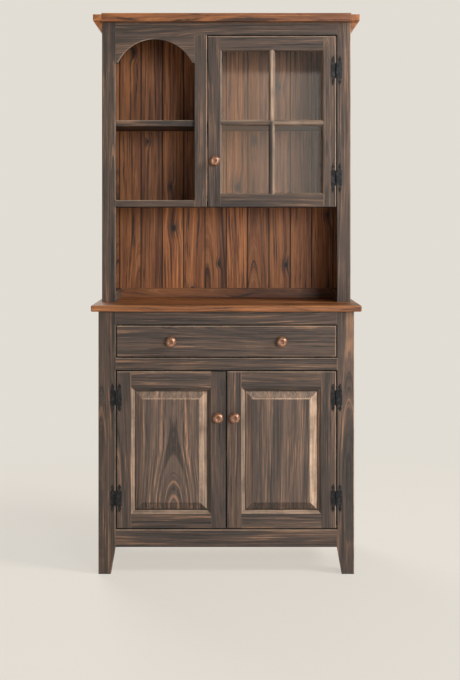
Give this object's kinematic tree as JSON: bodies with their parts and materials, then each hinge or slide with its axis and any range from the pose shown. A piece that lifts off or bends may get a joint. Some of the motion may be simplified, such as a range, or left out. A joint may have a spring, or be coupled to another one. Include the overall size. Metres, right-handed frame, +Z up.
{
  "type": "glazed hutch cabinet",
  "caption": "Two-part hutch cabinet: a base cupboard with raised-panel doors and a wide drawer, and a hutch with an arched open niche and a small-paned glazed door.",
  "frame": {"origin": "on the floor, under the middle of the whole cabinet", "axes": "+Z up, the doors and the drawer face -Y, +X to the right seen from the front"},
  "size_m": [0.978, 0.49, 2.019],
  "materials": {
    "grey_wood": "worn grey stain with brown showing through",
    "brown_wood": "warm brown stain, satin",
    "plain_wood": "clear oiled, inside surfaces",
    "clear_glass": "clear float glass",
    "black_iron": "matt black",
    "aged_copper": "aged, worn bright on the crown"
  },
  "bodies": {
    "carcass": {"arch_header": "grey_wood", "base_back_panel": "plain_wood", "base_bottom_rail": "grey_wood", "base_floor_board": "plain_wood", "base_mid_rail": "grey_wood", "base_rear_rail": "plain_wood", "base_shelf": "plain_wood", "base_side_left": "grey_wood", "base_side_right": "grey_wood", "base_stile_left": "grey_wood", "base_stile_right": "grey_wood", "base_top_rail": "grey_wood", "countertop": "brown_wood", "crown_side_mouldings": "brown_wood", "display_shelf": "grey_wood", "door_catches": "plain_wood", "drawer_runners": "plain_wood", "hinge_frame_leaves": "black_iron", "hinge_pins": "black_iron", "hutch_back_boards": "brown_wood", "hutch_back_rail": "brown_wood", "hutch_divider": "grey_wood", "hutch_floor_board": "grey_wood", "hutch_mid_stile": "grey_wood", "hutch_side_cleats": "grey_wood", "hutch_side_left": "grey_wood", "hutch_side_right": "grey_wood", "hutch_stile_left": "grey_wood", "hutch_stile_right": "grey_wood", "hutch_top_rail": "grey_wood", "niche_rail": "grey_wood", "niche_shelf": "grey_wood", "roof_board": "brown_wood"},
    "drawer": {"drawer_back": "plain_wood", "drawer_bottom": "plain_wood", "drawer_front": "grey_wood", "drawer_knobs": "aged_copper", "drawer_sides": "plain_wood"},
    "left_door": {"left_door_bottom_rail": "grey_wood", "left_door_hardware": "black_iron", "left_door_hinge_stile": "grey_wood", "left_door_meeting_stile": "grey_wood", "left_door_panel": "grey_wood", "left_door_top_rail": "grey_wood"},
    "right_door": {"right_door_bottom_rail": "grey_wood", "right_door_hardware": "black_iron", "right_door_hinge_stile": "grey_wood", "right_door_meeting_stile": "grey_wood", "right_door_panel": "grey_wood", "right_door_top_rail": "grey_wood"},
    "glass_door": {"glass_door_bottom_rail": "grey_wood", "glass_door_hardware": "black_iron", "glass_door_hinge_stile": "grey_wood", "glass_door_lock_stile": "grey_wood", "glass_door_muntins": "grey_wood", "glass_door_top_rail": "grey_wood", "glass_panes": "clear_glass", "glazing_beads": "grey_wood"}
  },
  "joints": [
    {"name": "drawer_slide", "type": "slide", "parent": "carcass", "child": "drawer", "axis": [0, -1, 0], "range_m": [0, 0.33]},
    {"name": "left_door_hinge", "type": "hinge", "parent": "carcass", "child": "left_door", "pos_m": [-0.39225, -0.2193, 0.449], "axis": [0, 0, -1], "range_deg": [0, 170]},
    {"name": "right_door_hinge", "type": "hinge", "parent": "carcass", "child": "right_door", "pos_m": [0.39225, -0.2193, 0.449], "axis": [0, 0, 1], "range_deg": [0, 170]},
    {"name": "glass_door_hinge", "type": "hinge", "parent": "carcass", "child": "glass_door", "pos_m": [0.40625, -0.0593, 1.6128], "axis": [0, 0, 1], "range_deg": [0, 170]}
  ]
}
